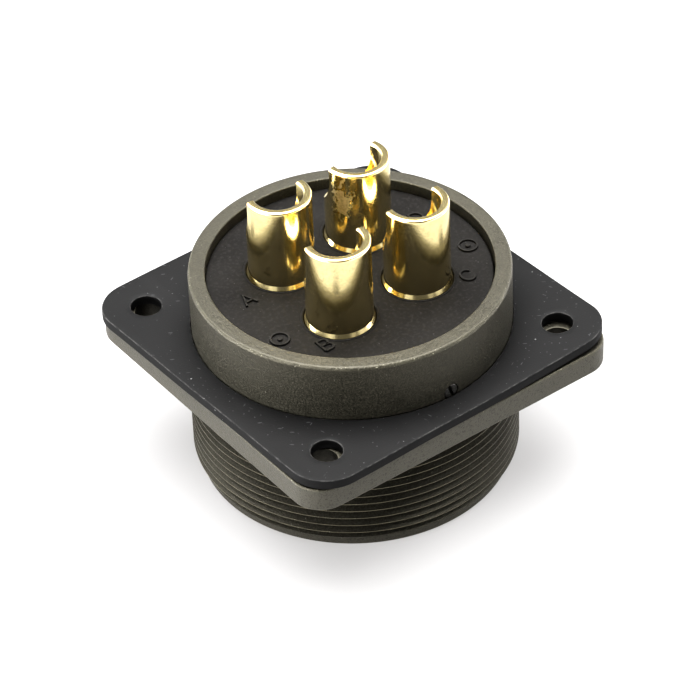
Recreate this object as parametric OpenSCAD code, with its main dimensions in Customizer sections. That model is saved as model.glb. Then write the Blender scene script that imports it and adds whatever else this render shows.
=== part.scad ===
// Square-flange box-mount circular connector receptacle, four power contacts with solder cups.
// It stands on the end of its threaded front barrel, solder side up.
// Origin: centre of the front barrel's end face. +Z towards the solder side. +Y towards the master key.
// Contacts, seen from the solder side: A (-X,+Y), B (-X,-Y), C (+X,-Y), D (+X,+Y).

/* [Flange] */
// side of the square flange
flange_side = 57.15; // [40:0.05:80]
// flange thickness
flange_t = 4.0; // [2:0.1:8]
// outside radius of the flange corners
flange_corner = 4.8; // [1:0.1:10]
// height of the flange's front face above the barrel end
flange_z = 19.25; // [10:0.05:30]
// hole-to-hole distance along each side
hole_spacing = 44.45; // [30:0.05:60]
// radius of the four mounting holes
hole_r = 2.2; // [1:0.05:4]

/* [Front barrel] */
// crest radius of the coupling thread (2-18 UNS)
thread_r = 25.4; // [15:0.05:40]
// radius of the plain band at the barrel end
band_r = 24.45; // [15:0.05:40]
// height of the plain band
band_h = 1.5; // [0.5:0.1:4]
// radius of the plug cavity
cavity_r = 22.5; // [12:0.05:38]
// depth of the plug cavity down to the ledge
cavity_depth = 17.0; // [8:0.1:25]
// width of the master key
key_w = 3.2; // [1:0.1:6]
// how far the master key stands in from the cavity wall
key_h = 1.5; // [0.5:0.1:3]

/* [Rear barrel] */
// outside radius of the rear barrel
barrel_r = 24.5; // [15:0.05:40]
// height of the rear rim above the barrel end
rim_z = 34.75; // [25:0.05:60]
// radius of the relief at the barrel's root, under the gasket
relief_r = 24.2; // [15:0.05:40]
// bevel on the rim's outer edge
rim_bevel = 0.4; // [0:0.05:2]
// radius of the insert pocket
pocket_r = 21.9; // [12:0.05:38]
// radius of the hole through the ledge
ledge_r = 20.6; // [10:0.05:36]
// height of the ledge's rear face
ledge_z = 19.0; // [10:0.05:30]

/* [Gasket] */
// side of the gasket sheet
gasket_side = 57.6; // [40:0.05:80]
// gasket thickness (1/16 inch sheet)
gasket_t = 1.6; // [0.5:0.1:4]
// outside radius of the gasket corners
gasket_corner = 6.0; // [1:0.1:10]
// radius of the gasket's centre hole
gasket_bore_r = 24.7; // [15:0.05:40]
// radius of the gasket's four small holes
gasket_hole_r = 2.4; // [1:0.05:4]

/* [Inserts] */
// outside radius of both insert halves
insert_r = 21.8; // [12:0.05:38]
// height of the front insert's mating face
front_face_z = 16.0; // [8:0.1:25]
// height of the joint between the insert halves
split_z = 23.0; // [18:0.1:30]
// height of the rear insert's face
rear_face_z = 33.05; // [25:0.05:50]
// radius of the solder-cup holes in the rear face
cup_hole_r = 5.5; // [3:0.05:9]
// radius of the counterbore that holds a contact's shoulder
counterbore_r = 6.3; // [4:0.05:9]
// height of the counterbore's end
counterbore_z = 27.0; // [22:0.1:32]
// width of the raised lip round each cup hole
lip_w = 0.35; // [0:0.05:1]
// height of the raised lip
lip_h = 0.12; // [0:0.01:0.5]

/* [Contacts] */
// half the contact spacing
contact_s = 7.3; // [4:0.05:12]
// pin radius (size 4 contact)
pin_r = 2.86; // [0.5:0.01:6]
// radius of the contact's shank inside the front insert
shank_r = 3.6; // [1:0.05:7]
// radius of the shank holes in the front insert
shank_hole_r = 3.7; // [1:0.05:7]
// height of the pin tips
pin_tip_z = 1.9; // [0.5:0.1:10]
// shoulder radius
shoulder_r = 6.1; // [3:0.05:9]
// height of the shoulder's rear face
shoulder_z = 26.9; // [22:0.1:32]
// radius of the cup's root inside the insert
root_r = 5.45; // [3:0.05:9]
// outside radius of the solder cup
cup_r = 5.08; // [4.5:0.01:5.4]
// radius of the solder well
well_r = 3.9; // [1:0.05:7]
// height of the well's floor
well_z = 34.2; // [25:0.1:50]
// height of the cup's rim
cup_top_z = 47.3; // [35:0.05:70]
// lowest height of the cutaway's swept foot
cut_z = 38.2; // [36:0.1:39]
// radius of the sweep at the foot of the cutaway
sweep_r = 7.0; // [6.5:0.1:8]
// distance of the cutaway plane behind the cup's axis
cut_y = 0.8; // [-2:0.05:2]
// rotation of each cup about its own axis: A, B, C, D
cup_turn = [-3.7, -7.4, 2.3, 7.6];

/* [Lock screw] */
// height of the screw's axis
screw_z = 25.75; // [24:0.05:32]
// screw radius
screw_r = 1.25; // [0.5:0.05:2]
// radius of the tapped hole in the barrel wall
screw_hole_r = 1.3; // [0.5:0.05:2]
// distance of the screw's outer end from the barrel axis
screw_out = 24.4; // [20:0.05:30]
// distance of the screw's tip from the barrel axis
screw_in = 20.1; // [15:0.05:24]
// width of the screwdriver slot
slot_w = 0.5; // [0.2:0.05:1]
// lean of the slot from upright
slot_turn = 18; // [-90:1:90]

/* [Hidden] */
$fn = 120;
eps = 0.5;
flange_top = flange_z + flange_t;
gasket_top = flange_top + gasket_t;

// a square plate with rounded corners
module plate(side, t, corner) {
  linear_extrude(height = t) difference() {
    square([side, side], center = true);
    for (a = [0, 90, 180, 270]) rotate([0, 0, a])
      translate([side / 2 - corner, side / 2 - corner]) difference() {
        square([corner + eps, corner + eps]);
        circle(r = corner);
      }
  }
}

// four places on the corners of a square
module at_corners(d) {
  for (x = [-d, d]) for (y = [-d, d]) translate([x, y, 0]) children();
}

// threaded front barrel, flange and rear barrel in one casting
module shell() {
  color([0.33, 0.33, 0.28]) difference() {
    union() {
      rotate_extrude() polygon([
        [0, 0], [band_r - 0.4, 0], [band_r, 0.4], [band_r, band_h], [thread_r, band_h + 0.55],
        [thread_r, flange_z + 0.2], [relief_r, flange_z + 0.2], [relief_r, gasket_top + 0.1], [barrel_r, gasket_top + 0.15],
        [barrel_r, rim_z - rim_bevel - 0.15],
        [barrel_r - rim_bevel, rim_z], [0, rim_z]]);
      translate([0, 0, flange_z]) plate(flange_side, flange_t, flange_corner);
    }
    // plug cavity, ledge and insert pocket
    rotate_extrude() polygon([
      [0, -eps], [cavity_r + 0.4 + eps, -eps], [cavity_r, 0.4], [cavity_r, cavity_depth], [ledge_r, cavity_depth],
      [ledge_r, ledge_z], [pocket_r, ledge_z], [pocket_r, rim_z - 0.25], [pocket_r + 0.25 + eps, rim_z + eps],
      [0, rim_z + eps]]);
    // mounting holes
    translate([0, 0, flange_z - eps]) at_corners(hole_spacing / 2) cylinder(r = hole_r, h = flange_t + 2 * eps);
    // tapped hole for the lock screw
    translate([0, -pocket_r + 2, screw_z]) rotate([90, 0, 0]) cylinder(r = screw_hole_r, h = barrel_r - pocket_r + 4);
  }
  // master key in the plug cavity
  color([0.33, 0.33, 0.28]) difference() {
    translate([-key_w / 2, cavity_r - key_h, 0.8]) cube([key_w, key_h + 0.8, cavity_depth - 0.6]);
    translate([0, 0, -eps]) difference() {
      cylinder(r = cavity_r + 10, h = cavity_depth + 2);
      translate([0, 0, -eps]) cylinder(r = cavity_r + 0.9, h = cavity_depth + 4);
    }
  }
}

// rubber sheet between the flange and the panel
module flange_gasket() {
  color([0.08, 0.08, 0.085]) translate([0, 0, flange_top]) difference() {
    plate(gasket_side, gasket_t, gasket_corner);
    translate([0, 0, -eps]) cylinder(r = gasket_bore_r, h = gasket_t + 2 * eps);
    translate([0, 0, -eps]) at_corners(hole_spacing / 2) cylinder(r = gasket_hole_r, h = gasket_t + 2 * eps);
  }
}

// moulded half behind the contact shoulders, with a raised lip round each cup hole
module rear_insert() {
  color([0.13, 0.125, 0.125]) difference() {
    union() {
      translate([0, 0, split_z]) cylinder(r = insert_r, h = rear_face_z - split_z);
      translate([0, 0, rear_face_z - eps]) at_corners(contact_s) cylinder(r = cup_hole_r + lip_w, h = eps + lip_h);
    }
    translate([0, 0, split_z - eps]) at_corners(contact_s) cylinder(r = cup_hole_r, h = rear_face_z - split_z + 2 * eps);
    translate([0, 0, split_z - eps]) at_corners(contact_s) cylinder(r = counterbore_r, h = counterbore_z - split_z + eps);
    // blind hole for the lock screw's tip
    translate([0, -screw_in, screw_z]) rotate([90, 0, 0]) cylinder(r = screw_r + 0.15, h = insert_r - screw_in + 2);
  }
}

// moulded half in front of the contact shoulders; its boss stands through the ledge
module front_insert() {
  color([0.13, 0.125, 0.125]) difference() {
    union() {
      translate([0, 0, ledge_z]) cylinder(r = insert_r, h = split_z - ledge_z);
      translate([0, 0, front_face_z]) cylinder(r = ledge_r - 0.1, h = ledge_z - front_face_z + eps);
    }
    translate([0, 0, front_face_z - eps]) at_corners(contact_s) cylinder(r = shank_hole_r, h = split_z - front_face_z + 2 * eps);
  }
}

// one turned contact: pin, captured shoulder, root and half-open solder cup
module contact(x, y, turn) {
  color([0.83, 0.66, 0.28]) translate([x, y, 0]) rotate([0, 0, turn]) difference() {
    rotate_extrude() polygon([
      [0, pin_tip_z], [1.5, pin_tip_z], [2.3, pin_tip_z + 0.4], [pin_r, pin_tip_z + 1.3], [pin_r, front_face_z],
      [shank_r, front_face_z], [shank_r, split_z], [shoulder_r, split_z], [shoulder_r, shoulder_z], [root_r, shoulder_z], [root_r, rear_face_z + 0.05],
      [cup_r, rear_face_z + 0.75], [cup_r, cup_top_z - 0.15], [cup_r - 0.15, cup_top_z], [0, cup_top_z]]);
    // solder well with a drill point
    rotate_extrude() polygon([
      [0, well_z - 1.8], [well_r, well_z], [well_r, cup_top_z - 0.1], [well_r + 0.1 + eps, cup_top_z + eps], [0, cup_top_z + eps]]);
    // cutaway of the cup's upper part: a flat face behind the axis, then a swept foot
    translate([-cup_r - 1, cut_y, cut_z + sweep_r - 0.5]) cube([2 * cup_r + 2, cup_r + sweep_r, cup_top_z - cut_z - sweep_r + 1.5]);
    translate([-cup_r - 1, cut_y + sweep_r + 0.02, cut_z + sweep_r]) rotate([0, 90, 0]) cylinder(r = sweep_r, h = 2 * cup_r + 2);
  }
}

module contact_a() { contact(-contact_s, contact_s, cup_turn[0]); }
module contact_b() { contact(-contact_s, -contact_s, cup_turn[1]); }
module contact_c() { contact(contact_s, -contact_s, cup_turn[2]); }
module contact_d() { contact(contact_s, contact_s, cup_turn[3]); }

// slotted set screw through the barrel wall into the rear insert
module lock_screw() {
  color([0.16, 0.16, 0.16]) translate([0, 0, screw_z]) rotate([90, 0, 0]) difference() {
    rotate_extrude() polygon([
      [0, screw_in], [screw_r - 0.3, screw_in], [screw_r, screw_in + 0.3], [screw_r, screw_out - 0.2],
      [screw_r - 0.2, screw_out], [0, screw_out]]);
    rotate([0, 0, slot_turn]) translate([-slot_w / 2, -screw_r - 1, screw_out - 0.7]) cube([slot_w, 2 * screw_r + 2, 2]);
  }
}

shell();
flange_gasket();
rear_insert();
front_insert();
contact_a();
contact_b();
contact_c();
contact_d();
lock_screw();
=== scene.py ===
"""Looks for the square-flange connector receptacle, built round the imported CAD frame. Everything is in metres; lengths below are in mm and scaled by MM."""
import math

import bmesh
import bpy
import numpy as np
from mathutils import Matrix, Vector
from mathutils.geometry import delaunay_2d_cdt


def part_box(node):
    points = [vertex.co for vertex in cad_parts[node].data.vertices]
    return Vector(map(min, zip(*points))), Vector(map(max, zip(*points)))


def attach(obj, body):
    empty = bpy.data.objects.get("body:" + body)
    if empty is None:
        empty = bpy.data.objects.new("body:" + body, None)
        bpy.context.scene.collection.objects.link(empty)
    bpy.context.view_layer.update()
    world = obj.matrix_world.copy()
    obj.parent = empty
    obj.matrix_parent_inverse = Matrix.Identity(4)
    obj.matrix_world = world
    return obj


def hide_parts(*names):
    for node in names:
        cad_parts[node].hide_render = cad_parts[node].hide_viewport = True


MM = 0.001
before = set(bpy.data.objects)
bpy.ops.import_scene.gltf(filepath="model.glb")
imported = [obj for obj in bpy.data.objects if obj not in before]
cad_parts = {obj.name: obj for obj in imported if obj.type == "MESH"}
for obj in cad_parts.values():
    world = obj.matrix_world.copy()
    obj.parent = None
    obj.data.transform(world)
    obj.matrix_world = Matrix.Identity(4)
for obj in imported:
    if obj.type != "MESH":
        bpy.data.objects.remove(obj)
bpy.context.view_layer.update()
scene = bpy.context.scene


def box_mm(node):
    low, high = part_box(node)
    return [x / MM for x in low], [x / MM for x in high]


# ---------------------------------------------------------------- levels and radii, read from the CAD frame where it gives them
(_, _, _), (_, _, RIM_Z) = box_mm("shell")
FLANGE = 2 * box_mm("shell")[1][0]
GASKET_BOTTOM, GASKET_TOP = box_mm("flange_gasket")[0][2], box_mm("flange_gasket")[1][2]
FLANGE_TOP = GASKET_BOTTOM
FLANGE_Z = FLANGE_TOP - 4.0
INSERT_R = box_mm("rear_insert")[1][0]
SPLIT_Z = box_mm("rear_insert")[0][2]
FACE_Z = box_mm("rear_insert")[1][2] - 0.14
FRONT_FACE_Z = box_mm("front_insert")[0][2]
PIN_TIP_Z, CUP_TOP_Z = box_mm("contact_a")[0][2], box_mm("contact_a")[1][2]
SCREW_OUT, SCREW_IN = -box_mm("lock_screw")[0][1], -box_mm("lock_screw")[1][1]
SCREW_R = box_mm("lock_screw")[1][0]
SCREW_Z = (box_mm("lock_screw")[0][2] + box_mm("lock_screw")[1][2]) / 2

THREAD_R, BAND_R, PITCH, BAND_H = 25.4, 24.45, 1.4111, 1.5
BARREL_R, POCKET_R, LEDGE_R, LEDGE_Z, CAVITY_R, CAVITY_D = 24.5, 21.9, 20.6, 19.0, 22.5, 17.0
HOLE_C, HOLE_R, FLANGE_CORNER = 22.225, 2.2, 4.8
S = 7.3
# the insert and its contacts sit against one side of their play in the shell
PLAY = (-0.080, 0.055)
CUP_HOLE_R, COUNTER_R, COUNTER_Z = 5.53, 6.3, 27.0
N = 288


# ---------------------------------------------------------------- mesh helpers
class Mesh:
    """Vertices in mm and faces, gathered from several surfaces and welded into one object."""

    def __init__(self):
        self.v, self.f = [], []

    def add(self, verts, faces):
        k = len(self.v)
        self.v += [tuple(p) for p in verts]
        self.f += [tuple(i + k for i in face) for face in faces]

    def rings(self, rings, closed=True, caps=(False, False)):
        """Quads between rings of equal length."""
        n = len(rings[0])
        verts = [p for r in rings for p in r]
        faces = []
        m = n if closed else n - 1
        for a in range(len(rings) - 1):
            for i in range(m):
                j = (i + 1) % n
                faces.append((a * n + i, a * n + j, (a + 1) * n + j, (a + 1) * n + i))
        if caps[0]:
            faces.append(tuple(range(n))[::-1])
        if caps[1]:
            faces.append(tuple(range((len(rings) - 1) * n, len(rings) * n)))
        self.add(verts, faces)

    def object(self, name, weld=1e-4, sharp=32.0):
        me = bpy.data.meshes.new(name)
        me.from_pydata([(x * MM, y * MM, z * MM) for x, y, z in self.v], [], self.f)
        bm = bmesh.new()
        bm.from_mesh(me)
        bmesh.ops.remove_doubles(bm, verts=bm.verts, dist=weld * MM * 10)
        bmesh.ops.dissolve_degenerate(bm, edges=bm.edges, dist=1e-8)
        bmesh.ops.recalc_face_normals(bm, faces=bm.faces)
        bm.to_mesh(me)
        bm.free()
        ob = bpy.data.objects.new(name, me)
        scene.collection.objects.link(ob)
        shade(ob, sharp)
        return ob


def shade(ob, sharp=32.0):
    me = ob.data
    me.shade_smooth()
    me.set_sharp_from_angle(angle=math.radians(sharp))


def rounded(points, steps=4):
    """An open polyline of (x, y) or (x, y, radius): corners with a radius become arcs."""
    out = []
    pts = [(p[0], p[1], p[2] if len(p) > 2 else 0.0) for p in points]
    for i, (x, y, r) in enumerate(pts):
        if r <= 0 or i in (0, len(pts) - 1):
            out.append((x, y))
            continue
        p, a, b = np.array([x, y]), np.array(pts[i - 1][:2]), np.array(pts[i + 1][:2])
        u, w = (a - p) / np.linalg.norm(a - p), (b - p) / np.linalg.norm(b - p)
        half = math.acos(max(-1, min(1, float(u @ w)))) / 2
        if half > math.pi / 2 - 0.02:
            out.append((x, y))
            continue
        t = r / math.tan(half)
        c = p + (u + w) / np.linalg.norm(u + w) * r / math.sin(half)
        s, e = p + u * t, p + w * t
        a0, a1 = math.atan2(*(s - c)[::-1]), math.atan2(*(e - c)[::-1])
        d = (a1 - a0 + math.pi) % (2 * math.pi) - math.pi
        for k in range(steps + 1):
            q = a0 + d * k / steps
            out.append((c[0] + r * math.cos(q), c[1] + r * math.sin(q)))
    return out


def ring(r, z, n=N, cx=0.0, cy=0.0, a0=0.0):
    return [(cx + r * math.cos(a0 + 2 * math.pi * i / n), cy + r * math.sin(a0 + 2 * math.pi * i / n), z) for i in range(n)]


def lathe(mesh, profile, n=N, cx=0.0, cy=0.0):
    """Turns an open profile of (r, z) round a vertical axis; ends on the axis become poles."""
    rows = [ring(r, z, n, cx, cy) for r, z in profile if r > 1e-6]
    mesh.rings(rows)
    if profile[0][0] <= 1e-6:
        r0 = rows[0]
        mesh.add(r0 + [(cx, cy, profile[0][1])], [(i, n, (i + 1) % n) for i in range(n)])
    if profile[-1][0] <= 1e-6:
        r1 = rows[-1]
        mesh.add(r1 + [(cx, cy, profile[-1][1])], [(i, (i + 1) % n, n) for i in range(n)])


def square_ring(side, corner, z, arc=12, step=3.0):
    """A rounded square, counter-clockwise, with the same number of points whatever its size."""
    h = side / 2
    out = []
    run = max(1, int(round((FLANGE - 2 * FLANGE_CORNER) / step)))
    for q in range(4):
        a0 = math.pi / 2 * q
        c = ((h - corner) * (1 if q in (0, 3) else -1), (h - corner) * (1 if q in (0, 1) else -1))
        for k in range(arc + 1):
            a = a0 + math.pi / 2 * k / arc
            out.append((c[0] + corner * math.cos(a), c[1] + corner * math.sin(a), z))
        s = out[-1]
        q2 = (q + 1) % 4
        c2 = ((h - corner) * (1 if q2 in (0, 3) else -1), (h - corner) * (1 if q2 in (0, 1) else -1))
        a = math.pi / 2 * q2
        e = (c2[0] + corner * math.cos(a), c2[1] + corner * math.sin(a), z)
        for k in range(1, run):
            t = k / run
            out.append((s[0] + (e[0] - s[0]) * t, s[1] + (e[1] - s[1]) * t, z))
    return out


def flat(mesh, outer, holes, z, inner_pts=(), up=True, height=None):
    """A flat face with holes, triangulated; outer and holes are rings of points. Extra points refine it. height(x, y) lifts it."""
    loops = [outer, *holes]
    pts, edges = [], []
    for loop in loops:
        k = len(pts)
        pts += [Vector((p[0], p[1])) for p in loop]
        edges += [(k + i, k + (i + 1) % len(loop)) for i in range(len(loop))]
    border = len(pts)
    pts += [Vector(p) for p in inner_pts]
    v, _, f, origin, _, _ = delaunay_2d_cdt(pts, edges, [], 0, 1e-7)

    def inside(x, y, poly):
        hit, n = False, len(poly)
        for i in range(n):
            x1, y1, x2, y2 = poly[i][0], poly[i][1], poly[(i + 1) % n][0], poly[(i + 1) % n][1]
            if (y1 > y) != (y2 > y) and x < (x2 - x1) * (y - y1) / (y2 - y1) + x1:
                hit = not hit
        return hit

    faces = []
    radii = []
    for h in holes:
        c = (sum(p[0] for p in h) / len(h), sum(p[1] for p in h) / len(h))
        radii.append((c, min(math.hypot(p[0] - c[0], p[1] - c[1]) for p in h)))
    for t in f:
        cx = sum(v[i].x for i in t) / len(t)
        cy = sum(v[i].y for i in t) / len(t)
        if not inside(cx, cy, outer):
            continue
        if any(math.hypot(cx - c[0], cy - c[1]) < r * 0.9999 for c, r in radii):
            continue
        faces.append(tuple(t) if up else tuple(t)[::-1])
    mesh.add([(p.x, p.y, z if height is None else height(p.x, p.y)) for p in v], faces)


def apply_boolean(ob, cutter, operation="DIFFERENCE", remove=True):
    m = ob.modifiers.new("cut", "BOOLEAN")
    m.operation, m.solver, m.object = operation, "EXACT", cutter
    bpy.context.view_layer.update()
    dep = bpy.context.evaluated_depsgraph_get()
    new = bpy.data.meshes.new_from_object(ob.evaluated_get(dep))
    ob.modifiers.remove(m)
    old = ob.data
    ob.data = new
    bpy.data.meshes.remove(old)
    new.name = ob.name
    if remove:
        me = cutter.data
        bpy.data.objects.remove(cutter)
        bpy.data.meshes.remove(me)


def cylinder_cutter(r, start, end, n=48):
    """A plain closed cylinder between two points in mm, used only as a cutter."""
    a, b = Vector(start), Vector(end)
    d = (b - a).normalized()
    u = d.orthogonal().normalized()
    w = d.cross(u)
    m = Mesh()
    rows = [[tuple(p + (u * math.cos(2 * math.pi * i / n) + w * math.sin(2 * math.pi * i / n)) * r) for i in range(n)] for p in (a, b)]
    m.rings(rows, caps=(True, True))
    return m.object("cutter")


def box_cutter(low, high, turn=None):
    m = Mesh()
    (x0, y0, z0), (x1, y1, z1) = low, high
    v = [Vector((x, y, z)) for x in (x0, x1) for y in (y0, y1) for z in (z0, z1)]
    if turn is not None:
        v = [turn @ p for p in v]
    m.add([tuple(p) for p in v], [(0, 1, 3, 2), (4, 6, 7, 5), (0, 4, 5, 1), (2, 3, 7, 6), (0, 2, 6, 4), (1, 5, 7, 3)])
    return m.object("cutter")


def face_float(ob, name, values):
    att = ob.data.attributes.get(name) or ob.data.attributes.new(name, "FLOAT", "FACE")
    att.data.foreach_set("value", np.asarray(values, np.float32))


def place(ob, node, material):
    ob.data.materials.clear()
    ob.data.materials.append(material)
    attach(ob, "root")
    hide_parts(node)
    return ob


def weighted(ob):
    m = ob.modifiers.new("normals", "WEIGHTED_NORMAL")
    m.keep_sharp = True
    m.weight = 80


# ---------------------------------------------------------------- node helpers
class Nodes:
    def __init__(self, name):
        self.mat = bpy.data.materials.new(name)
        self.mat.use_nodes = True
        self.t = self.mat.node_tree
        self.t.nodes.clear()
        self.out = self.t.nodes.new("ShaderNodeOutputMaterial")
        self.bsdf = self.t.nodes.new("ShaderNodeBsdfPrincipled")
        self.t.links.new(self.bsdf.outputs[0], self.out.inputs[0])
        self.pos = self.t.nodes.new("ShaderNodeTexCoord").outputs["Object"]

    def link(self, a, b):
        self.t.links.new(a, b)

    def node(self, kind, **values):
        n = self.t.nodes.new(kind)
        for k, v in values.items():
            setattr(n, k, v)
        return n

    def noise(self, scale, detail=2.0, rough=0.5, vector=None, distortion=0.0):
        n = self.node("ShaderNodeTexNoise")
        n.inputs["Scale"].default_value = scale
        n.inputs["Detail"].default_value = detail
        n.inputs["Roughness"].default_value = rough
        n.inputs["Distortion"].default_value = distortion
        self.link(vector or self.pos, n.inputs["Vector"])
        return n.outputs["Fac"]

    def voronoi(self, scale, vector=None, randomness=1.0, feature="F1"):
        n = self.node("ShaderNodeTexVoronoi", feature=feature)
        n.inputs["Scale"].default_value = scale
        n.inputs["Randomness"].default_value = randomness
        self.link(vector or self.pos, n.inputs["Vector"])
        return n.outputs["Distance"], n.outputs["Color"]

    def specks(self, scale, vector=None):
        """Scattered points on the level faces: distance to the nearest and its random colour."""
        n = self.node("ShaderNodeTexVoronoi", feature="F1", voronoi_dimensions="2D")
        n.inputs["Scale"].default_value = scale
        self.link(vector or self.pos, n.inputs["Vector"])
        return n.outputs["Distance"], n.outputs["Color"]

    def hair(self, turn, long, shift=0.0):
        """Coordinates drawn out along one level direction."""
        n = self.node("ShaderNodeMapping", vector_type="TEXTURE")
        n.inputs["Location"].default_value = (shift, -shift, 0)
        n.inputs["Rotation"].default_value = (0, 0, turn)
        n.inputs["Scale"].default_value = (long, 1, 1)
        self.link(self.pos, n.inputs["Vector"])
        return n.outputs[0]

    def ramp(self, value, low, high, a=0.0, b=1.0, smooth=False):
        n = self.node("ShaderNodeMapRange")
        n.interpolation_type = "SMOOTHSTEP" if smooth else "LINEAR"
        self.link(value, n.inputs["Value"])
        n.inputs["From Min"].default_value, n.inputs["From Max"].default_value = low, high
        n.inputs["To Min"].default_value, n.inputs["To Max"].default_value = a, b
        n.clamp = True
        return n.outputs["Result"]

    def math(self, op, a, b=None, clamp=False):
        n = self.node("ShaderNodeMath", operation=op)
        n.use_clamp = clamp
        for i, x in enumerate((a, b)):
            if x is None:
                continue
            if isinstance(x, (int, float)):
                n.inputs[i].default_value = x
            else:
                self.link(x, n.inputs[i])
        return n.outputs[0]

    def mix(self, fac, a, b):
        n = self.node("ShaderNodeMix", data_type="RGBA")
        if isinstance(fac, (int, float)):
            n.inputs[0].default_value = fac
        else:
            self.link(fac, n.inputs[0])
        for i, x in ((6, a), (7, b)):
            if isinstance(x, tuple):
                n.inputs[i].default_value = (*x, 1.0)
            else:
                self.link(x, n.inputs[i])
        return n.outputs[2]

    def stretch(self, sx, sy, sz):
        n = self.node("ShaderNodeMapping")
        n.inputs["Scale"].default_value = (sx, sy, sz)
        self.link(self.pos, n.inputs["Vector"])
        return n.outputs[0]

    def xyz(self, vector=None):
        n = self.node("ShaderNodeSeparateXYZ")
        self.link(vector or self.pos, n.inputs[0])
        return n.outputs

    def attribute(self, name):
        n = self.node("ShaderNodeAttribute", attribute_name=name)
        return n.outputs["Fac"]

    def bump(self, height, strength, distance, normal=None):
        n = self.node("ShaderNodeBump")
        n.inputs["Strength"].default_value = strength
        n.inputs["Distance"].default_value = distance
        self.link(height, n.inputs["Height"])
        if normal is not None:
            self.link(normal, n.inputs["Normal"])
        return n.outputs["Normal"]

    def set(self, **values):
        for k, v in values.items():
            s = self.bsdf.inputs[k.replace("_", " ")]
            if isinstance(v, tuple):
                s.default_value = (*v, 1.0) if len(v) == 3 and len(s.default_value) == 4 else v
            elif isinstance(v, (int, float)):
                s.default_value = v
            else:
                self.link(v, s)


# ---------------------------------------------------------------- materials
def shell_material():
    """Olive-drab conversion coat on a blasted casting: fine grain, uneven tone, paler and speckled on the edges; the
    paler edges are partly wear and partly painted highlight, the specks are painted glints, and painted light and shade
    sit on the flange sides, foot band, thread grooves and holes.
    """
    m = Nodes("olive_coat")
    grain = m.noise(3900, 3.0, 0.62)
    coarse = m.noise(420, 3.0, 0.55)
    patch = m.noise(75, 3.0, 0.6)
    mark = m.attribute("wear_and_painted_light")
    wear_and_painted_light = m.ramp(mark, 0.0, 1.0)
    crest = m.ramp(mark, 1.2, 1.9)
    bore = m.ramp(mark, -0.3, -0.9)
    painted_light_zone = m.attribute("painted_light_zone")
    flange, groove_shade = m.ramp(painted_light_zone, 0.3, 0.9), m.ramp(painted_light_zone, -0.3, -0.9)
    tone = m.mix(m.ramp(patch, 0.35, 0.65), (0.0160, 0.0152, 0.0112), (0.0222, 0.0210, 0.0158))
    # painted light: paler on the flange sides and the plain band at the foot; painted shade: darker down in the thread
    # grooves
    tone = m.mix(m.math("MULTIPLY", flange, 0.75), tone, (0.074, 0.0715, 0.0630))
    tone = m.mix(m.math("MULTIPLY", groove_shade, 0.30), tone, (0.0080, 0.0077, 0.0060))
    tone = m.mix(m.math("MULTIPLY", m.ramp(grain, 0.46, 0.66), 0.55), tone, (0.060, 0.0570, 0.0440))
    tone = m.mix(m.math("MULTIPLY", m.ramp(grain, 0.48, 0.36), 0.80), tone, (0.0080, 0.0077, 0.0058))
    # paler along the edges: partly wear of the thin coat, partly painted highlight; the bright flecks there are painted
    # glints of bright metal
    broken = m.math("MULTIPLY", wear_and_painted_light, m.ramp(coarse, 0.38, 0.62, 0.35, 1.0))
    tone = m.mix(m.math("MULTIPLY", broken, 0.40), tone, (0.072, 0.0675, 0.0480))
    tone = m.mix(m.math("MULTIPLY", crest, m.ramp(coarse, 0.35, 0.65, 0.35, 0.85)), tone, (0.115, 0.103, 0.072))
    # painted shade: the flange hole walls are darkened
    tone = m.mix(m.math("MULTIPLY", bore, 0.75), tone, (0.006, 0.0058, 0.0045))
    painted_glint_fleck = m.ramp(m.noise(3400, 1.0, 0.5), 0.675, 0.73)
    tone = m.mix(m.math("MULTIPLY", m.math("MULTIPLY", painted_glint_fleck, wear_and_painted_light), 0.8), tone, (0.24, 0.23, 0.18))
    # painted glints: sparse bright specks over the whole coat
    painted_glint_specks = m.ramp(m.noise(2900, 1.0, 0.5), 0.745, 0.79)
    tone = m.mix(m.math("MULTIPLY", painted_glint_specks, 0.4), tone, (0.22, 0.215, 0.18))
    height = m.math("ADD", m.math("MULTIPLY", grain, 1.0), m.math("MULTIPLY", coarse, 0.9))
    m.set(Base_Color=tone, Metallic=0.0, Roughness=m.ramp(grain, 0.35, 0.65, 0.38, 0.58), Normal=m.bump(height, 0.85, 0.00008))
    m.set(Specular_IOR_Level=0.62, Specular_Tint=(1.0, 0.945, 0.80, 1.0))
    return m.mat


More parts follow.
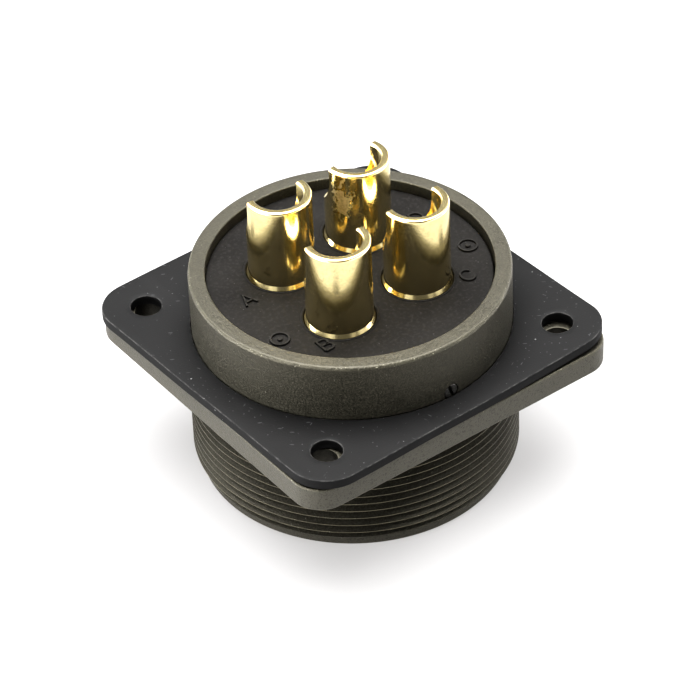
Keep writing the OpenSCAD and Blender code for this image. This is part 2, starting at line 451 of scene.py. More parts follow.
def rubber_material():
    """Black rubber sheet with a faint blue cast, dusty, with specks and a few lighter scuffs; a painted highlight runs
    along the cut edges.
    """
    m = Nodes("black_rubber")
    fine = m.noise(3800, 2.0, 0.5)
    cloud = m.noise(55, 4.0, 0.6)
    streak = m.noise(160, 2.0, 0.5, m.stretch(1.0, 0.18, 1.0), 0.6)
    tone = m.mix(m.ramp(cloud, 0.3, 0.7), (0.0074, 0.0073, 0.0073), (0.0112, 0.0110, 0.0110))
    tone = m.mix(m.ramp(streak, 0.60, 0.80, 0.0, 0.35), tone, (0.022, 0.0218, 0.0215))
    d, c = m.voronoi(900)
    pick = m.ramp(m.xyz(c)[0], 0.93, 0.94)
    size = m.ramp(m.xyz(c)[1], 0.0, 1.0, 0.05, 0.16)
    dust = m.math("MULTIPLY", m.math("LESS_THAN", d, size), pick)
    tone = m.mix(m.math("MULTIPLY", dust, 0.65), tone, (0.22, 0.22, 0.22))
    level_face = m.ramp(m.xyz(m.node("ShaderNodeNewGeometry").outputs["Normal"])[2], 0.80, 0.95)
    d2, c2 = m.specks(1100)
    fine_dust = m.math("MULTIPLY", m.math("LESS_THAN", d2, m.ramp(m.xyz(c2)[1], 0.0, 1.0, 0.03, 0.11)), m.math("MULTIPLY", level_face, m.ramp(m.xyz(c2)[0], 0.80, 0.81)))
    tone = m.mix(m.math("MULTIPLY", fine_dust, m.ramp(m.xyz(c2)[2], 0.0, 1.0, 0.10, 0.55)), tone, (0.16, 0.16, 0.165))
    lint = None
    for turn, shift in ((0.5, 0.0), (1.9, 0.0073), (-0.7, 0.0131), (2.6, 0.0217)):
        d3, c3 = m.specks(430, m.hair(turn, 5.0, shift))
        one = m.math("MULTIPLY", m.math("LESS_THAN", d3, 0.030), m.math("MULTIPLY", m.ramp(m.xyz(c3)[0], 0.66, 0.67), m.ramp(m.xyz(c3)[1], 0.0, 1.0, 0.25, 1.0)))
        lint = one if lint is None else m.math("MAXIMUM", lint, one)
    tone = m.mix(m.math("MULTIPLY", m.math("MULTIPLY", lint, level_face), 0.38), tone, (0.14, 0.14, 0.145))
    # painted highlight: the bevels of the cut edges are painted paler, broken up by noise
    slope = m.xyz(m.node("ShaderNodeNewGeometry").outputs["True Normal"])[2]
    edge_highlight = m.math("MULTIPLY", m.ramp(slope, 0.30, 0.38), m.ramp(slope, 0.93, 0.97, 1.0, 0.0))
    tone = m.mix(m.math("MULTIPLY", edge_highlight, m.ramp(m.noise(900, 3.0, 0.6), 0.40, 0.62, 0.10, 0.75)), tone, (0.060, 0.058, 0.056))
    m.set(Base_Color=tone, Roughness=m.ramp(cloud, 0.3, 0.7, 0.52, 0.64), Normal=m.bump(m.math("ADD", fine, m.math("MULTIPLY", dust, 1.5)), 0.35, 0.00004))
    m.set(Specular_IOR_Level=0.2)
    return m.mat


def insert_material():
    """Moulded black-brown plastic, matte, with faint flow marks and a little dust; the raised tops carry a painted
    highlight.
    """
    m = Nodes("moulded_insert")
    fine = m.noise(4500, 2.0, 0.5)
    flow = m.noise(120, 3.0, 0.6, None, 0.8)
    tone = m.mix(m.ramp(flow, 0.35, 0.65), (0.0108, 0.0100, 0.0092), (0.0150, 0.0140, 0.0130))
    tone = m.mix(m.math("MULTIPLY", m.ramp(m.noise(1700, 3.0, 0.65), 0.50, 0.68), 0.7), tone, (0.0235, 0.0222, 0.0208))
    # painted highlight: the raised tops of the letters and marks are painted paler, mottled by noise
    tone = m.mix(m.math("MULTIPLY", m.attribute("wear_and_painted_light"), m.ramp(m.noise(700, 2.0), 0.35, 0.65, 0.35, 1.0)), tone, (0.026, 0.0247, 0.0230))
    d, c = m.specks(1200)
    dust = m.math("MULTIPLY", m.math("LESS_THAN", d, m.ramp(m.xyz(c)[1], 0.0, 1.0, 0.03, 0.10)), m.ramp(m.xyz(c)[0], 0.88, 0.89))
    level_face = m.ramp(m.xyz(m.node("ShaderNodeNewGeometry").outputs["Normal"])[2], 0.80, 0.95)
    tone = m.mix(m.math("MULTIPLY", m.math("MULTIPLY", dust, level_face), m.ramp(m.xyz(c)[2], 0.0, 1.0, 0.08, 0.45)), tone, (0.15, 0.15, 0.145))
    m.set(Base_Color=tone, Roughness=m.ramp(flow, 0.3, 0.7, 0.50, 0.60), Normal=m.bump(fine, 0.30, 0.00003))
    m.set(Specular_IOR_Level=0.12)
    return m.mat


def gold_material():
    """Gold plate over turned brass: bright, with fine grain and turning lines, and one cup frosted by an old stain."""
    m = Nodes("gold_plate")
    turned = m.noise(1.0, 3.0, 0.6, m.stretch(90, 90, 4200))
    drawn = m.noise(1.0, 2.0, 0.6, m.stretch(1400, 1400, 60))
    soft = m.noise(420, 2.0, 0.5)
    grain = m.noise(2600, 3.0, 0.65)
    micro = m.noise(6200, 2.0, 0.6)
    tone = m.mix(m.ramp(soft, 0.3, 0.7), (0.850, 0.725, 0.390), (0.910, 0.785, 0.450))
    tone = m.mix(m.math("MULTIPLY", m.ramp(grain, 0.52, 0.70), 0.30), tone, (0.62, 0.53, 0.33))
    # the stain's broken outline
    edge = m.math("ADD", m.attribute("stain"), m.math("MULTIPLY", m.math("SUBTRACT", m.noise(950, 4.0, 0.65), 0.5), 2.0))
    stain = m.ramp(edge, 0.52, 0.60)
    tone = m.mix(m.math("MULTIPLY", stain, 0.75), tone, m.mix(m.ramp(grain, 0.4, 0.6), (0.50, 0.41, 0.24), (0.80, 0.68, 0.44)))
    d, c = m.voronoi(1900)
    pit = m.math("MULTIPLY", m.math("LESS_THAN", d, 0.12), m.ramp(m.xyz(c)[0], 0.965, 0.970))
    tone = m.mix(m.math("MULTIPLY", pit, 0.5), tone, (0.40, 0.34, 0.22))
    rough = m.math("ADD", m.ramp(micro, 0.35, 0.75, 0.12, 0.20), m.math("MULTIPLY", stain, 0.24))
    rough = m.math("ADD", rough, m.ramp(grain, 0.45, 0.75, 0.0, 0.10))
    height = m.math("ADD", m.math("MULTIPLY", turned, 0.16), m.math("ADD", m.math("MULTIPLY", soft, 0.6), m.math("MULTIPLY", micro, 0.30)))
    height = m.math("ADD", height, m.math("ADD", m.math("MULTIPLY", drawn, 0.12), m.math("MULTIPLY", grain, 0.55)))
    m.set(Base_Color=tone, Metallic=1.0, Roughness=rough, Normal=m.bump(height, 0.34, 0.00003))
    return m.mat


def screw_material():
    m = Nodes("black_steel")
    fine = m.noise(4200, 3.0, 0.6)
    tone = m.mix(m.ramp(fine, 0.35, 0.7), (0.045, 0.044, 0.041), (0.120, 0.117, 0.110))
    m.set(Base_Color=tone, Metallic=0.6, Roughness=m.ramp(fine, 0.3, 0.7, 0.30, 0.45), Normal=m.bump(fine, 0.4, 0.00004))
    return m.mat


# ---------------------------------------------------------------- shell
def thread_depth(f):
    """Depth below the crest at a fraction f of the pitch from the crest's middle."""
    f = abs((f + 0.5) % 1.0 - 0.5)
    h = 0.6134 * PITCH
    if f < 0.055:
        return 0.0
    if f < 0.415:
        return h * (f - 0.055) / 0.36
    return h


def make_shell(material):
    m = Mesh()
    top_groove, root_r = FLANGE_Z - 0.75, THREAD_R - 0.6134 * PITCH - 0.02
    crest0 = 3.32  # height of a crest at the azimuth below
    az0 = math.radians(-125.6)
    rows_f = [-0.5, -0.415, -0.295, -0.175, -0.055, 0.0, 0.055, 0.175, 0.295, 0.415]

    def envelope(z):
        lo = BAND_R + max(0.0, (z - BAND_H) * 1.25)
        hi = root_r + max(0.0, (top_groove - z) * 1.0)
        return min(lo, hi, THREAD_R)

    rows = []
    for k in range(-3, 16):
        for f in rows_f:
            z0 = crest0 + (k + f) * PITCH
            row = []
            for i in range(N + 1):
                a = 2 * math.pi * i / N
                z = z0 + PITCH * (a - az0) / (2 * math.pi)
                zc = min(max(z, BAND_H), top_groove)
                r = min(THREAD_R - thread_depth((z - z0) / PITCH * 0 + f), envelope(zc))
                row.append((r * math.cos(a), r * math.sin(a), zc))
            rows.append(row)
    keep = [r for r in rows if max(p[2] for p in r) > BAND_H + 1e-6 and min(p[2] for p in r) < top_groove - 1e-6]
    first, last = rows.index(keep[0]), rows.index(keep[-1])
    rows = rows[max(0, first - 1): last + 2]
    m.rings([r for r in rows], closed=False)
    # outside below the thread, the end face, the plug cavity, the ledge, the insert pocket, the rim and the rear barrel
    lower = rounded([(BAND_R, BAND_H), (BAND_R, 0.0, 0.38), (CAVITY_R, 0.0, 0.3), (CAVITY_R, CAVITY_D, 0.25), (LEDGE_R, CAVITY_D, 0.12), (LEDGE_R, LEDGE_Z, 0.12),
                     (POCKET_R, LEDGE_Z, 0.1), (POCKET_R, RIM_Z, 0.22), (BARREL_R, RIM_Z, 0.55), (BARREL_R, FLANGE_TOP + 1.75), (24.2, FLANGE_TOP + 1.70), (24.2, FLANGE_TOP)], 5)
    lathe(m, lower)
    lathe(m, [(root_r, top_groove), (root_r, FLANGE_Z - 0.12), (root_r + 0.12, FLANGE_Z)])
    # flange: edges lightly broken, four holes
    e = 0.32
    bevel = [(e, 0.0), (e * 0.45, e * 0.13), (e * 0.13, e * 0.45), (0.0, e)]
    sides = [square_ring(FLANGE - 2 * i, FLANGE_CORNER - i, FLANGE_Z + j) for i, j in bevel]
    sides += [square_ring(FLANGE - 2 * i, FLANGE_CORNER - i, FLANGE_TOP - j) for i, j in bevel[::-1]]
    m.rings(sides)
    holes = [(x, y) for x in (-HOLE_C, HOLE_C) for y in (-HOLE_C, HOLE_C)]
    b = 0.18
    for x, y in holes:
        m.rings([ring(HOLE_R + i, z, 64, x, y) for i, z in ((b, FLANGE_Z), (b * 0.3, FLANGE_Z + b * 0.3), (0, FLANGE_Z + b), (0, FLANGE_TOP - b), (b * 0.3, FLANGE_TOP - b * 0.3), (b, FLANGE_TOP))])
    mouths = [ring(HOLE_R + b, 0, 64, x, y) for x, y in holes]
    # a ring of points just outside each mouth keeps the flat face flat up to the broken edge
    about = [p[:2] for x, y in holes for p in ring(HOLE_R + b + 0.25, 0, 64, x, y)]
    flat(m, sides[-1], [ring(24.2, 0), *mouths], FLANGE_TOP, about)
    flat(m, sides[0], [ring(root_r + 0.12, 0), *mouths], FLANGE_Z, about, up=False)
    ob = m.object("shell_casting")
    # tapped hole for the lock screw
    apply_boolean(ob, cylinder_cutter(SCREW_R + 0.07, (0, -POCKET_R + 1, SCREW_Z), (0, -BARREL_R - 1, SCREW_Z)))
    # master key: its own rounded bar, seated in the cavity wall
    k = Mesh()
    key = rounded([(-1.6, 22.72), (-1.6, 21.0, 0.35), (1.6, 21.0, 0.35), (1.6, 22.72)], 5)
    base = [(x, y) for x, y in key]
    levels = [(0.85, 0.30), (0.94, 0.09), (1.15, 0.0), (CAVITY_D + 0.1, 0.0)]
    rows = []
    for z, inset in levels:
        rows.append([(x * (1 - inset / 1.6), y + (inset if y < 22 else 0), z) for x, y in base])
    k.rings(rows, caps=(True, True))
    key_ob = k.object("key")
    join(ob, key_ob)
    tidy(ob, 32)
    me = ob.data
    n = len(me.polygons)
    c = np.zeros(n * 3); me.polygons.foreach_get("center", c); c = c.reshape(-1, 3) / MM
    nr = np.zeros(n * 3); me.polygons.foreach_get("normal", nr); nr = nr.reshape(-1, 3)
    r = np.hypot(c[:, 0], c[:, 1])
    # per-face mark: 2 on the worn thread crests, 1 on the edges (wear and painted highlight), -1 on the flange hole
    # walls (painted shade)
    wear_and_painted_light = np.zeros(n)
    thread = (c[:, 2] > BAND_H) & (c[:, 2] < top_groove) & (r < THREAD_R + 0.1) & (r > 24.0)
    wear_and_painted_light[thread & (r > THREAD_R - 0.05)] = 2.0
    edge = ~thread & (np.abs(nr[:, 2]) > 0.12) & (np.abs(nr[:, 2]) < 0.985)
    wear_and_painted_light[edge] = 1.0
    # the flange hole walls are marked -1 for painted shade
    for hx, hy in holes:
        wear_and_painted_light[(np.hypot(c[:, 0] - hx, c[:, 1] - hy) < HOLE_R + 0.05) & (np.abs(nr[:, 2]) < 0.5)] = -1.0
    face_float(ob, "wear_and_painted_light", wear_and_painted_light)
    # per-face zone for painted light and shade: 1 on the flange sides and 0.6 on the foot band paint them paler, -1 in
    # the thread grooves paints them darker
    painted_light_zone = np.zeros(n)
    painted_light_zone[(c[:, 2] > FLANGE_Z + 0.05) & (c[:, 2] < FLANGE_TOP - 0.05) & (np.maximum(np.abs(c[:, 0]), np.abs(c[:, 1])) > 24.9) & (np.abs(nr[:, 2]) < 0.3)] = 1.0
    for hx, hy in holes:
        painted_light_zone[np.hypot(c[:, 0] - hx, c[:, 1] - hy) < HOLE_R + 0.3] = 0.0
    painted_light_zone[thread & (r < THREAD_R - 0.05)] = -1.0
    painted_light_zone[(c[:, 2] < BAND_H) & (r > BAND_R - 0.4)] = 0.6
    face_float(ob, "painted_light_zone", painted_light_zone)
    weighted(ob)
    return place(ob, "shell", material)


def join(ob, other):
    bm = bmesh.new()
    bm.from_mesh(ob.data)
    bm.from_mesh(other.data)
    bm.to_mesh(ob.data)
    bm.free()
    me = other.data
    bpy.data.objects.remove(other)
    bpy.data.meshes.remove(me)


def tidy(ob, sharp):
    bm = bmesh.new()
    bm.from_mesh(ob.data)
    bmesh.ops.remove_doubles(bm, verts=bm.verts, dist=2e-7)
    bmesh.ops.dissolve_degenerate(bm, edges=bm.edges, dist=1e-8)
    bm.to_mesh(ob.data)
    bm.free()
    shade(ob, sharp)


# ---------------------------------------------------------------- gasket
def make_gasket(material):
    """Rubber sheet, laid a little askew, lifting off the flange at its right-hand corner."""
    side, corner, turn = 57.8, 6.2, math.radians(1.62)
    shift = (-0.21, 0.055)
    t = GASKET_TOP - GASKET_BOTTOM
    ct, st = math.cos(turn), math.sin(turn)

    def lift(x, y):
        # (x, y) in the sheet's own axes; the corner at +x -y stands off the flange, the middle of the -y side stays down
        u = max(0.0, (x - 6.0) / 22.0)
        w = max(0.0, (-y - 2.0) / 26.0)
        z = 0.75 * (u ** 1.6) * (w ** 1.2)
        z += 0.10 * max(0.0, (-x - 12.0) / 16.0) ** 2
        z += 0.05 * math.sin(0.31 * x + 1.0) * math.sin(0.27 * y + 0.4)
        return z + 0.12

    m = Mesh()
    e = 0.14
    prof = [(e, 0.0), (e * 0.3, e * 0.3), (0.0, e), (0.0, t - e), (e * 0.3, t - e * 0.3), (e, t)]
    rows = [square_ring(side - 2 * i, corner - i, GASKET_BOTTOM + z, 12, 1.0) for i, z in prof]
    m.rings(rows)
    # the bore fits the barrel, so it is not quite concentric with the sheet
    bore, hr = 24.57, 2.38
    bx, by = -ct * shift[0] - st * shift[1], st * shift[0] - ct * shift[1]
    m.rings([ring(bore + i, GASKET_BOTTOM + z, 192, bx, by) for i, z in prof][::-1])
    holes = [(x, y) for x in (-22.27, 22.27) for y in (-22.27, 22.27)]
    for x, y in holes:
        m.rings([ring(hr + i, GASKET_BOTTOM + z, 56, x, y) for i, z in prof][::-1])
    mouths = [ring(bore + e, 0, 192, bx, by)] + [ring(hr + e, 0, 56, x, y) for x, y in holes]
    grid = []
    g = np.arange(-28.0, 28.01, 0.8)
    for i, x in enumerate(g):
        for y in g:
            y = y + (0.4 if i % 2 else 0.0)
            if math.hypot(x, y) < bore + 0.7 or any(math.hypot(x - a, y - b) < hr + 0.6 for a, b in holes):
                continue
            h = side / 2 - 0.6
            q = (abs(x) - (h - corner), abs(y) - (h - corner))
            if abs(x) > h or abs(y) > h or (q[0] > 0 and q[1] > 0 and math.hypot(*q) > corner):
                continue
            grid.append((float(x), float(y)))
    flat(m, rows[-1], mouths, GASKET_BOTTOM + t, grid)
    flat(m, rows[0], mouths, GASKET_BOTTOM, grid, up=False)
    m.v = [(ct * x - st * y + shift[0], st * x + ct * y + shift[1], z + lift(x, y)) for x, y, z in m.v]
    ob = m.object("gasket_sheet", sharp=60)
    weighted(ob)
    return place(ob, "flange_gasket", material)


# ---------------------------------------------------------------- inserts
def stroke(mesh, line, width, z0, z1, closed=False, draft=0.05):
    """A raised line along a flat path, with slightly sloping sides."""
    p = [np.array(q, float) for q in line]
    n = len(p)
    left, right, left2, right2 = [], [], [], []
    for i in range(n):
        a = p[i] - p[i - 1] if i > 0 or closed else p[1] - p[0]
        b = p[(i + 1) % n] - p[i] if i < n - 1 or closed else p[-1] - p[-2]
        a, b = a / np.linalg.norm(a), b / np.linalg.norm(b)
        na, nb = np.array([-a[1], a[0]]), np.array([-b[1], b[0]])
        d = na + nb
        d = d / np.linalg.norm(d)
        k = 1.0 / max(0.5, float(d @ na))
        for out, h in ((left, width / 2), (right, -width / 2), (left2, width / 2 - draft), (right2, -width / 2 + draft)):
            out.append(tuple(p[i] + d * k * h))
    sec = [[(*right[i], z0), (*right[i], z0 + (z1 - z0) * 0.6), (*right2[i], z1), (*left2[i], z1), (*left[i], z0 + (z1 - z0) * 0.6), (*left[i], z0)] for i in range(n)]
    if closed:
        sec.append(sec[0])
    mesh.rings(sec, caps=(not closed, not closed))


def arc_pts(cx, cy, rx, ry, a0, a1, n=14):
    return [(cx + rx * math.cos(math.radians(a0 + (a1 - a0) * i / n)), cy + ry * math.sin(math.radians(a0 + (a1 - a0) * i / n))) for i in range(n + 1)]


GLYPHS = {
    "A": [[(0.0, 0.0), (0.39, 1.0), (0.78, 0.0)], [(0.13, 0.33), (0.65, 0.33)]],
    "B": [[(0.0, 0.0), (0.0, 1.0), (0.36, 1.0)] + arc_pts(0.36, 0.76, 0.25, 0.24, 90, -90, 10)[1:] + [(0.0, 0.52)],
          [(0.36, 0.52)] + arc_pts(0.40, 0.26, 0.28, 0.26, 90, -90, 10)[1:] + [(0.0, 0.0)]],
    "C": [arc_pts(0.44, 0.5, 0.42, 0.5, 32, 328, 26)],
    "D": [[(0.0, 0.0), (0.0, 1.0), (0.26, 1.0)] + arc_pts(0.26, 0.5, 0.44, 0.5, 90, -90, 16)[1:] + [(0.0, 0.0)]],
}
WIDTHS = {"A": 0.78, "B": 0.68, "C": 0.78, "D": 0.70}


def letter(mesh, ch, cx, cy, h, width, z0, z1):
    for line in GLYPHS[ch]:
        pts = [(cx + (x - WIDTHS[ch] / 2) * h, cy + (y - 0.5) * h) for x, y in line]
        stroke(mesh, pts, width, z0, z1)


def make_rear_insert(material):
    m = Mesh()
    spots = [(x, y) for x in (-S, S) for y in (-S, S)]
    rim = rounded([(INSERT_R - 3, SPLIT_Z), (INSERT_R, SPLIT_Z, 0.2), (INSERT_R, FACE_Z, 0.25), (INSERT_R - 3, FACE_Z)], 4)[1:-1]
    lathe(m, rim, 216)
    lip = [(0.36, 0.0), (0.33, 0.06), (0.26, 0.11), (0.17, 0.125), (0.07, 0.11), (0.0, 0.03)]
    for x, y in spots:
        prof = [(CUP_HOLE_R + a, FACE_Z + b) for a, b in lip] + [(CUP_HOLE_R, COUNTER_Z), (COUNTER_R, COUNTER_Z), (COUNTER_R, SPLIT_Z)]
        lathe(m, prof, 96, x, y)
    flat(m, ring(rim[-1][0], 0, 216), [ring(CUP_HOLE_R + lip[0][0], 0, 96, x, y) for x, y in spots], FACE_Z)
    flat(m, ring(rim[0][0], 0, 216), [ring(COUNTER_R, 0, 96, x, y) for x, y in spots], SPLIT_Z, up=False)
    ob = m.object("insert_rear")
    apply_boolean(ob, cylinder_cutter(SCREW_R + 0.1, (0, -SCREW_IN, SCREW_Z), (0, -INSERT_R - 1, SCREW_Z)))
    # contact letters and two plain ring marks, raised
    k = Mesh()
    z0, z1 = FACE_Z - 0.05, FACE_Z + 0.30
    for ch, x, y in (("A", -15.75, 4.46), ("B", -13.0, -11.44), ("C", 13.28, -11.77), ("D", 16.3, 4.3)):
        letter(k, ch, x, y, 2.5, 0.37, z0, z1)
    for x, y in ((-17.5, -6.1), (17.95, -6.1)):
        stroke(k, [(x + 1.4 * math.cos(2 * math.pi * i / 40), y + 1.4 * math.sin(2 * math.pi * i / 40)) for i in range(40)], 0.31, z0, z1, closed=True)
        lathe(k, [(0.42, z0), (0.42, z1 - 0.08), (0.34, z1), (0.0, z1)], 24, x, y)
    join(ob, k.object("marks"))
    ob.data.transform(Matrix.Translation((PLAY[0] * MM, PLAY[1] * MM, 0)))
    tidy(ob, 35)
    n = len(ob.data.polygons)
    c = np.zeros(n * 3); ob.data.polygons.foreach_get("center", c)
    # the raised tops above the face are marked for a painted highlight
    face_float(ob, "wear_and_painted_light", (c.reshape(-1, 3)[:, 2] > (FACE_Z + 0.17) * MM).astype(float))
    weighted(ob)
    return place(ob, "rear_insert", material)


def make_front_insert(material):
    m = Mesh()
    spots = [(x, y) for x in (-S, S) for y in (-S, S)]
    outer = rounded([(17.0, FRONT_FACE_Z), (LEDGE_R - 0.1, FRONT_FACE_Z, 0.3), (LEDGE_R - 0.1, LEDGE_Z + 0.02), (INSERT_R, LEDGE_Z + 0.02, 0.2), (INSERT_R, SPLIT_Z, 0.2), (17.0, SPLIT_Z)], 4)[1:-1]
    lathe(m, outer, 216)
    for x, y in spots:
        lathe(m, rounded([(4.4, FRONT_FACE_Z), (4.4, FRONT_FACE_Z + 0.15, 0.06), (3.7, FRONT_FACE_Z + 0.15, 0.06), (3.7, SPLIT_Z)], 3)[::-1], 72, x, y)
    flat(m, ring(outer[0][0], 0, 216), [ring(4.4, 0, 72, x, y) for x, y in spots], FRONT_FACE_Z, up=False)
    flat(m, ring(outer[-1][0], 0, 216), [ring(3.7, 0, 72, x, y) for x, y in spots], SPLIT_Z)
    ob = m.object("insert_front")
    ob.data.transform(Matrix.Translation((PLAY[0] * MM, PLAY[1] * MM, 0)))
    weighted(ob)
    return place(ob, "front_insert", material)


# ---------------------------------------------------------------- contacts
CUP_R, WELL_R, ROOT_R, CUT_Y, CUT_Z, SWEEP_R = 5.08, 3.8, 5.44, 0.8, 38.65, 6.5


def cutaway_cutter():
    """The space milled away from a cup: flat behind the axis, sweeping out at the foot."""
    zc = CUT_Z + SWEEP_R
    line = [(CUT_Y, CUP_TOP_Z + 2), (CUT_Y, zc + 0.6)]
    line += [(CUT_Y + SWEEP_R * (1 - math.cos(math.radians(a))), zc - SWEEP_R * math.sin(math.radians(a))) for a in range(0, 79, 3)]
    line += [(8.0, line[-1][1]), (8.0, CUP_TOP_Z + 2)]
    m = Mesh()
    m.rings([[(x, y, z) for y, z in line] for x in (-7.0, 7.0)], caps=(True, True))
    return m.object("cutter")


def float_attribute(ob, name, values):
    """Stores one number a vertex for the materials."""
    layer = ob.data.attributes.new(name, "FLOAT", "POINT")
    layer.data.foreach_set("value", values)


def make_contact(name, node, x, y, turn, material, stain=None, lift=0.0):
    m = Mesh()
    seg = 160
    outer = rounded([(0.0, PIN_TIP_Z), (2.0, PIN_TIP_Z, 0.5), (2.86, PIN_TIP_Z + 1.3, 0.9), (2.86, FRONT_FACE_Z), (3.6, FRONT_FACE_Z + 0.02, 0.1), (3.6, SPLIT_Z), (6.1, SPLIT_Z, 0.15), (6.1, 26.9, 0.15),
                     (ROOT_R, 26.9), (ROOT_R, FACE_Z + 0.04, 0.03), (CUP_R, FACE_Z + 0.62, 0.03)], 6)
    outer += [(CUP_R, FACE_Z + 1.2 + (CUP_TOP_Z - FACE_Z - 1.6) * i / 20) for i in range(20)]
    outer += rounded([(CUP_R, CUP_TOP_Z - 0.6), (CUP_R, CUP_TOP_Z, 0.40), (WELL_R, CUP_TOP_Z, 0.34), (WELL_R, CUP_TOP_Z - 0.6)], 8)
    outer += [(WELL_R, 34.2 + (CUP_TOP_Z - 1.0 - 34.2) * i / 20) for i in range(20, -1, -1)] + [(0.0, 32.4)]
    lathe(m, outer, seg)
    ob = m.object("cup")
    apply_boolean(ob, cutaway_cutter())
    # soften the milled edges
    bm = bmesh.new()
    bm.from_mesh(ob.data)
    bmesh.ops.remove_doubles(bm, verts=bm.verts, dist=2e-7)
    zc = CUT_Z + SWEEP_R

    def on_cut(p):
        if p.y < CUT_Y - 1e-3 or p.z < CUT_Z - 1e-3:
            return False
        if p.z > zc:
            return abs(p.y - CUT_Y) < 2e-3
        return abs(math.hypot(p.y - CUT_Y - SWEEP_R, p.z - zc) - SWEEP_R) < 0.012

    edges = [e for e in bm.edges if len(e.link_faces) == 2 and on_cut(e.verts[0].co / MM) and on_cut(e.verts[1].co / MM) and e.is_convex and e.calc_face_angle(0) > 0.4]
    bmesh.ops.bevel(bm, geom=edges, offset=0.24 * MM, segments=4, profile=0.5, affect="EDGES", clamp_overlap=True)
    bmesh.ops.remove_doubles(bm, verts=bm.verts, dist=2e-7)
    bmesh.ops.dissolve_degenerate(bm, edges=bm.edges, dist=1e-8)
    for v in bm.verts:
        if v.co.z > CUT_Z * MM:
            v.co.z += lift * MM * min(1.0, (v.co.z / MM - CUT_Z) / 4.0)
    bm.transform(Matrix.Translation(((x + PLAY[0]) * MM, (y + PLAY[1]) * MM, 0)) @ Matrix.Rotation(math.radians(turn), 4, "Z"))
    bm.to_mesh(ob.data)
    bm.free()
    ob.name = ob.data.name = name
    if stain:
        ax, ay = x + PLAY[0], y + PLAY[1]
        values = []
        for v in ob.data.vertices:
            px, py, pz = v.co / MM
            turn_at = math.degrees(math.atan2(py - ay, px - ax)) - stain[0]
            turn_at = (turn_at + 180) % 360 - 180
            far = math.hypot(turn_at / stain[1], (pz - stain[2]) / stain[3])
            values.append(max(0.0, 1.0 - 0.5 * far) if math.hypot(px - ax, py - ay) > CUP_R - 0.1 else 0.0)
        float_attribute(ob, "stain", values)
    shade(ob, 22)
    weighted(ob)
    return place(ob, node, material)


# ---------------------------------------------------------------- lock screw
def make_screw(material):
    m = Mesh()
    lathe(m, rounded([(0.0, 0.0), (SCREW_R - 0.05, 0.0, 0.2), (SCREW_R - 0.05, SCREW_OUT - SCREW_IN, 0.18), (0.0, SCREW_OUT - SCREW_IN)], 4), 64)
    ob = m.object("screw")
    h = SCREW_OUT - SCREW_IN
    apply_boolean(ob, box_cutter((-0.26, -3, h - 0.75), (0.26, 3, h + 1), Matrix.Rotation(math.radians(18), 3, "Z")))
    bm = bmesh.new()
    bm.from_mesh(ob.data)
    bmesh.ops.remove_doubles(bm, verts=bm.verts, dist=2e-7)
    edges = [e for e in bm.edges if len(e.link_faces) == 2 and e.is_convex and e.calc_face_angle(0) > 0.9 and min(v.co.z for v in e.verts) > (h - 0.1) * MM]
    bmesh.ops.bevel(bm, geom=edges, offset=0.05 * MM, segments=2, profile=0.5, affect="EDGES", clamp_overlap=True)
    # own axis z goes to -y
    bm.transform(Matrix.Translation((0, -SCREW_IN * MM, SCREW_Z * MM)) @ Matrix.Rotation(math.radians(90), 4, "X"))
    bm.to_mesh(ob.data)
    bm.free()
    ob.name = ob.data.name = "lock_screw_slotted"
    shade(ob, 35)
    return place(ob, "lock_screw", material)


shell_mat, rubber_mat, insert_mat, gold_mat, screw_mat = shell_material(), rubber_material(), insert_material(), gold_material(), screw_material()
make_shell(shell_mat)
make_gasket(rubber_mat)
make_rear_insert(insert_mat)
make_front_insert(insert_mat)
for name, node, x, y, turn, stain, lift in (("cup_contact_a", "contact_a", -S, S, -3.7, None, 0.06), ("cup_contact_b", "contact_b", -S, -S, -7.4, None, 0.15),
                                            ("cup_contact_c", "contact_c", S, -S, 2.3, None, 0.22), ("cup_contact_d", "contact_d", S, S, 7.6, (-155, 17, 42.6, 3.0), 0.0)):
    make_contact(name, node, x, y, turn, gold_mat, stain, lift)
make_screw(screw_mat)
for name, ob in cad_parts.items():
    ob.data.materials.clear()
    ob.data.materials.append({"shell": shell_mat, "flange_gasket": rubber_mat, "rear_insert": insert_mat, "front_insert": insert_mat, "lock_screw": screw_mat}.get(name, gold_mat))

# ---------------------------------------------------------------- floor, light, camera
fm = Mesh()
half = 900.0
fm.add([(-half, -half, 0), (half, -half, 0), (half, half, 0), (-half, half, 0)], [(0, 1, 2, 3)])
floor = fm.object("floor")
fn = Nodes("floor_white")
fn.set(Base_Color=fn.mix(fn.noise(6, 2), (0.185, 0.184, 0.184), (0.195, 0.194, 0.194)), Roughness=0.8, Specular_IOR_Level=0.1)
fn.set(Emission_Color=(1.0, 0.985, 0.98), Emission_Strength=0.39)
floor.data.materials.append(fn.mat)

world = bpy.data.worlds.new("studio")
scene.world = world
world.use_nodes = True
wt = world.node_tree


def wnode(kind, *inputs, **values):
    n = wt.nodes.new(kind)
    for k, v in values.items():
        setattr(n, k, v)
    for i, x in enumerate(inputs):
        if x is None:
            continue
        if isinstance(x, (int, float, tuple)):
            n.inputs[i].default_value = x
        else:
            wt.links.new(x, n.inputs[i])
    return n.outputs


def lobe(direction, low, high):
    """1 towards a direction, falling to 0 between two cosines."""
    d = Vector(direction).normalized()
    c = wnode("ShaderNodeVectorMath", sky, tuple(d), operation="DOT_PRODUCT")["Value"]
    return wnode("ShaderNodeMapRange", c, low, high, 0.0, 1.0, interpolation_type="SMOOTHSTEP")["Result"]


def madd(*terms):
    total = None
    for t in terms:
        v = wnode("ShaderNodeMath", t[0], float(t[1]), operation="MULTIPLY")["Value"] if isinstance(t, tuple) else t
        total = v if total is None else wnode("ShaderNodeMath", total, v, operation="ADD")["Value"]
    return total


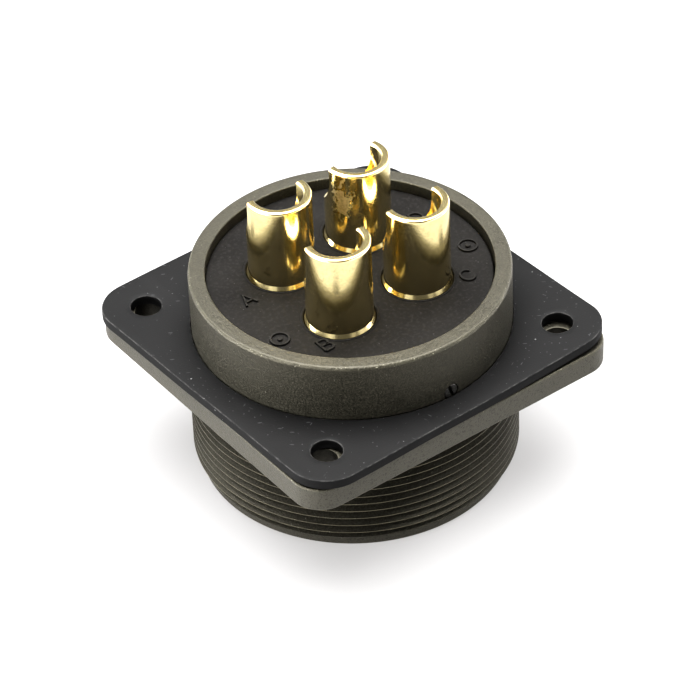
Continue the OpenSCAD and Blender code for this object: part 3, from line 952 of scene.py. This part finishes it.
sky = wnode("ShaderNodeTexCoord")["Generated"]
height = wnode("ShaderNodeSeparateXYZ", sky)["Z"]
low_band = wnode("ShaderNodeMapRange", height, 0.05, 0.20, 1.0, 0.0, interpolation_type="SMOOTHSTEP")["Result"]


def low_lobe(direction, low, high):
    """A lobe kept to the lowest part of the sky."""
    return wnode("ShaderNodeMath", lobe(direction, low, high), low_band, operation="MULTIPLY")["Value"]


overhead = lobe((0.05, 0.10, 1.0), 0.79, 0.95)
high_left = lobe((-0.72, 0.02, 0.70), 0.87, 0.97)
high_right = lobe((0.68, -0.36, 0.70), 0.88, 0.97)
left = low_lobe((-0.95, 0.32, 0.05), 0.66, 0.94)
right = low_lobe((0.98, -0.10, 0.05), 0.78, 0.97)
fill_right = low_lobe((0.55, -0.84, 0.0), 0.72, 0.97)
back_left = lobe((-0.36, 0.92, 0.12), 0.92, 0.98)
back_wall = lobe((0.449, 0.627, 0.60), 0.84, 0.97)
back_left_high = lobe((-0.209, 0.811, 0.547), 0.90, 0.98)
far_right_high = lobe((0.835, 0.063, 0.547), 0.90, 0.98)
streaks = [(lobe((-0.81, -0.351, 0.469), 0.960, 0.985), 0.6), (lobe((-0.886, 0.281, 0.368), 0.985, 0.996), 0.5),
           (lobe((0.069, -0.896, 0.438), 0.980, 0.995), 0.4), (lobe((0.495, -0.779, 0.384), 0.960, 0.985), 0.55)]
level = madd((overhead, 10.6), (high_left, 0.8), (high_right, 0.9), (left, 24.0), (right, 10.0), (fill_right, 4.6), (back_left, 1.2), (back_left_high, 1.8), (far_right_high, 0.9), (back_wall, 0.20), *streaks)
level = wnode("ShaderNodeMath", level, 0.13, operation="ADD")["Value"]
bg = wt.nodes["Background"]
bg.inputs[0].default_value = (1.0, 1.0, 1.0, 1.0)
wt.links.new(level, bg.inputs[1])


def area(name, pos, target, size, energy, color=(1, 1, 1)):
    data = bpy.data.lights.new(name, "AREA")
    data.shape = "RECTANGLE"
    data.size, data.size_y = size
    data.energy = energy
    data.color = color
    ob = bpy.data.objects.new(name, data)
    scene.collection.objects.link(ob)
    ob.location = pos
    ob.rotation_euler = (Vector(target) - Vector(pos)).to_track_quat("-Z", "Y").to_euler()
    return ob


area("softbox_top", (-0.18, 0.30, 0.80), (0, 0, 0.02), (0.5, 0.5), 1.5)

az, el, roll = math.radians(-35.5942), math.radians(39.4973), math.radians(-2.3313)
back = Vector((math.sin(az) * math.cos(el), -math.cos(az) * math.cos(el), math.sin(el)))
right = Vector((math.cos(az), math.sin(az), 0))
up = back.cross(right)
r2 = math.cos(roll) * right + math.sin(roll) * up
u2 = -math.sin(roll) * right + math.cos(roll) * up
centre = (Vector((0, 0, 15.0)) + back * 571.816 - r2 * 0.59137 + u2 * 2.33874) * MM
data = bpy.data.cameras.new("camera")
data.sensor_fit, data.sensor_width, data.lens = "HORIZONTAL", 36.0, 3714.43 / 700 * 36
data.clip_start, data.clip_end = 0.01, 20
cam = bpy.data.objects.new("camera", data)
scene.collection.objects.link(cam)
rot = Matrix((r2, u2, back)).transposed()
cam.matrix_world = Matrix.Translation(centre) @ rot.to_4x4()
scene.camera = cam
scene.view_settings.view_transform = "Standard"
scene.view_settings.look = "High Contrast"
